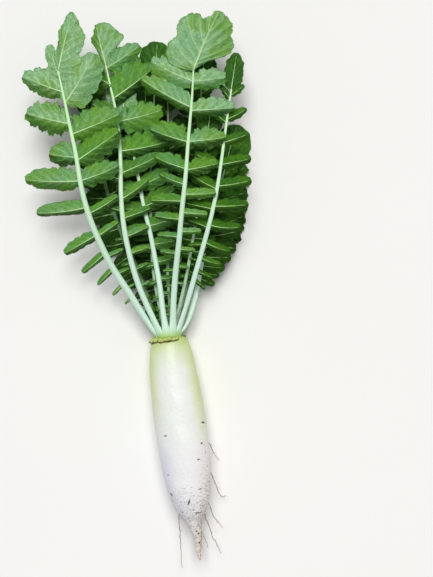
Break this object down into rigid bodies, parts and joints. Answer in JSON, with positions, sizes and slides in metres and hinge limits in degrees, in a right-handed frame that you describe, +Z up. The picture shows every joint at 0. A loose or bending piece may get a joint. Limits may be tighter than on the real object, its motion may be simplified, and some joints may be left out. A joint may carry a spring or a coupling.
{
  "type": "daikon radish with leaves",
  "caption": "Long white taproot with a green shoulder and thin side roots, lying on its side with its spread bunch of pinnate leaves attached.",
  "frame": {"origin": "on the supporting surface, in the middle of the flat strip where the root's belly rests", "axes": "+Y along the root from its tail towards the leaf tips, +Z up, +X to the right as seen from above with the leaves away from the viewer"},
  "size_m": [0.3167, 0.7879, 0.0866],
  "materials": {
    "root_skin": "smooth moist root skin, white with a pale green shoulder",
    "leaf_green": "matte leaf with a pale juicy stalk",
    "heart_green": "tender yellow-green bud and young leaves",
    "old_leaf_base": "drying yellow-green scale with a brown edge",
    "rootlet": "thin dry rootlet"
  },
  "bodies": {
    "root": {"taproot": "root_skin", "heart_bud": "heart_green", "young_leaf_1": "heart_green", "young_leaf_2": "heart_green", "leaf_01": "leaf_green", "leaf_02": "leaf_green", "leaf_03": "leaf_green", "leaf_04": "leaf_green", "leaf_05": "leaf_green", "leaf_06": "leaf_green", "leaf_07": "leaf_green", "leaf_08": "leaf_green", "leaf_09": "leaf_green", "leaf_10": "leaf_green", "leaf_11": "leaf_green", "leaf_12": "leaf_green", "leaf_13": "leaf_green", "leaf_14": "leaf_green", "old_leaf_base_1": "old_leaf_base", "old_leaf_base_2": "old_leaf_base", "old_leaf_base_3": "old_leaf_base", "old_leaf_base_4": "old_leaf_base", "side_root_1": "rootlet", "side_root_2": "rootlet", "side_root_3": "rootlet", "side_root_4": "rootlet", "side_root_5": "rootlet", "side_root_6": "rootlet", "side_root_7": "rootlet"}
  },
  "joints": []
}
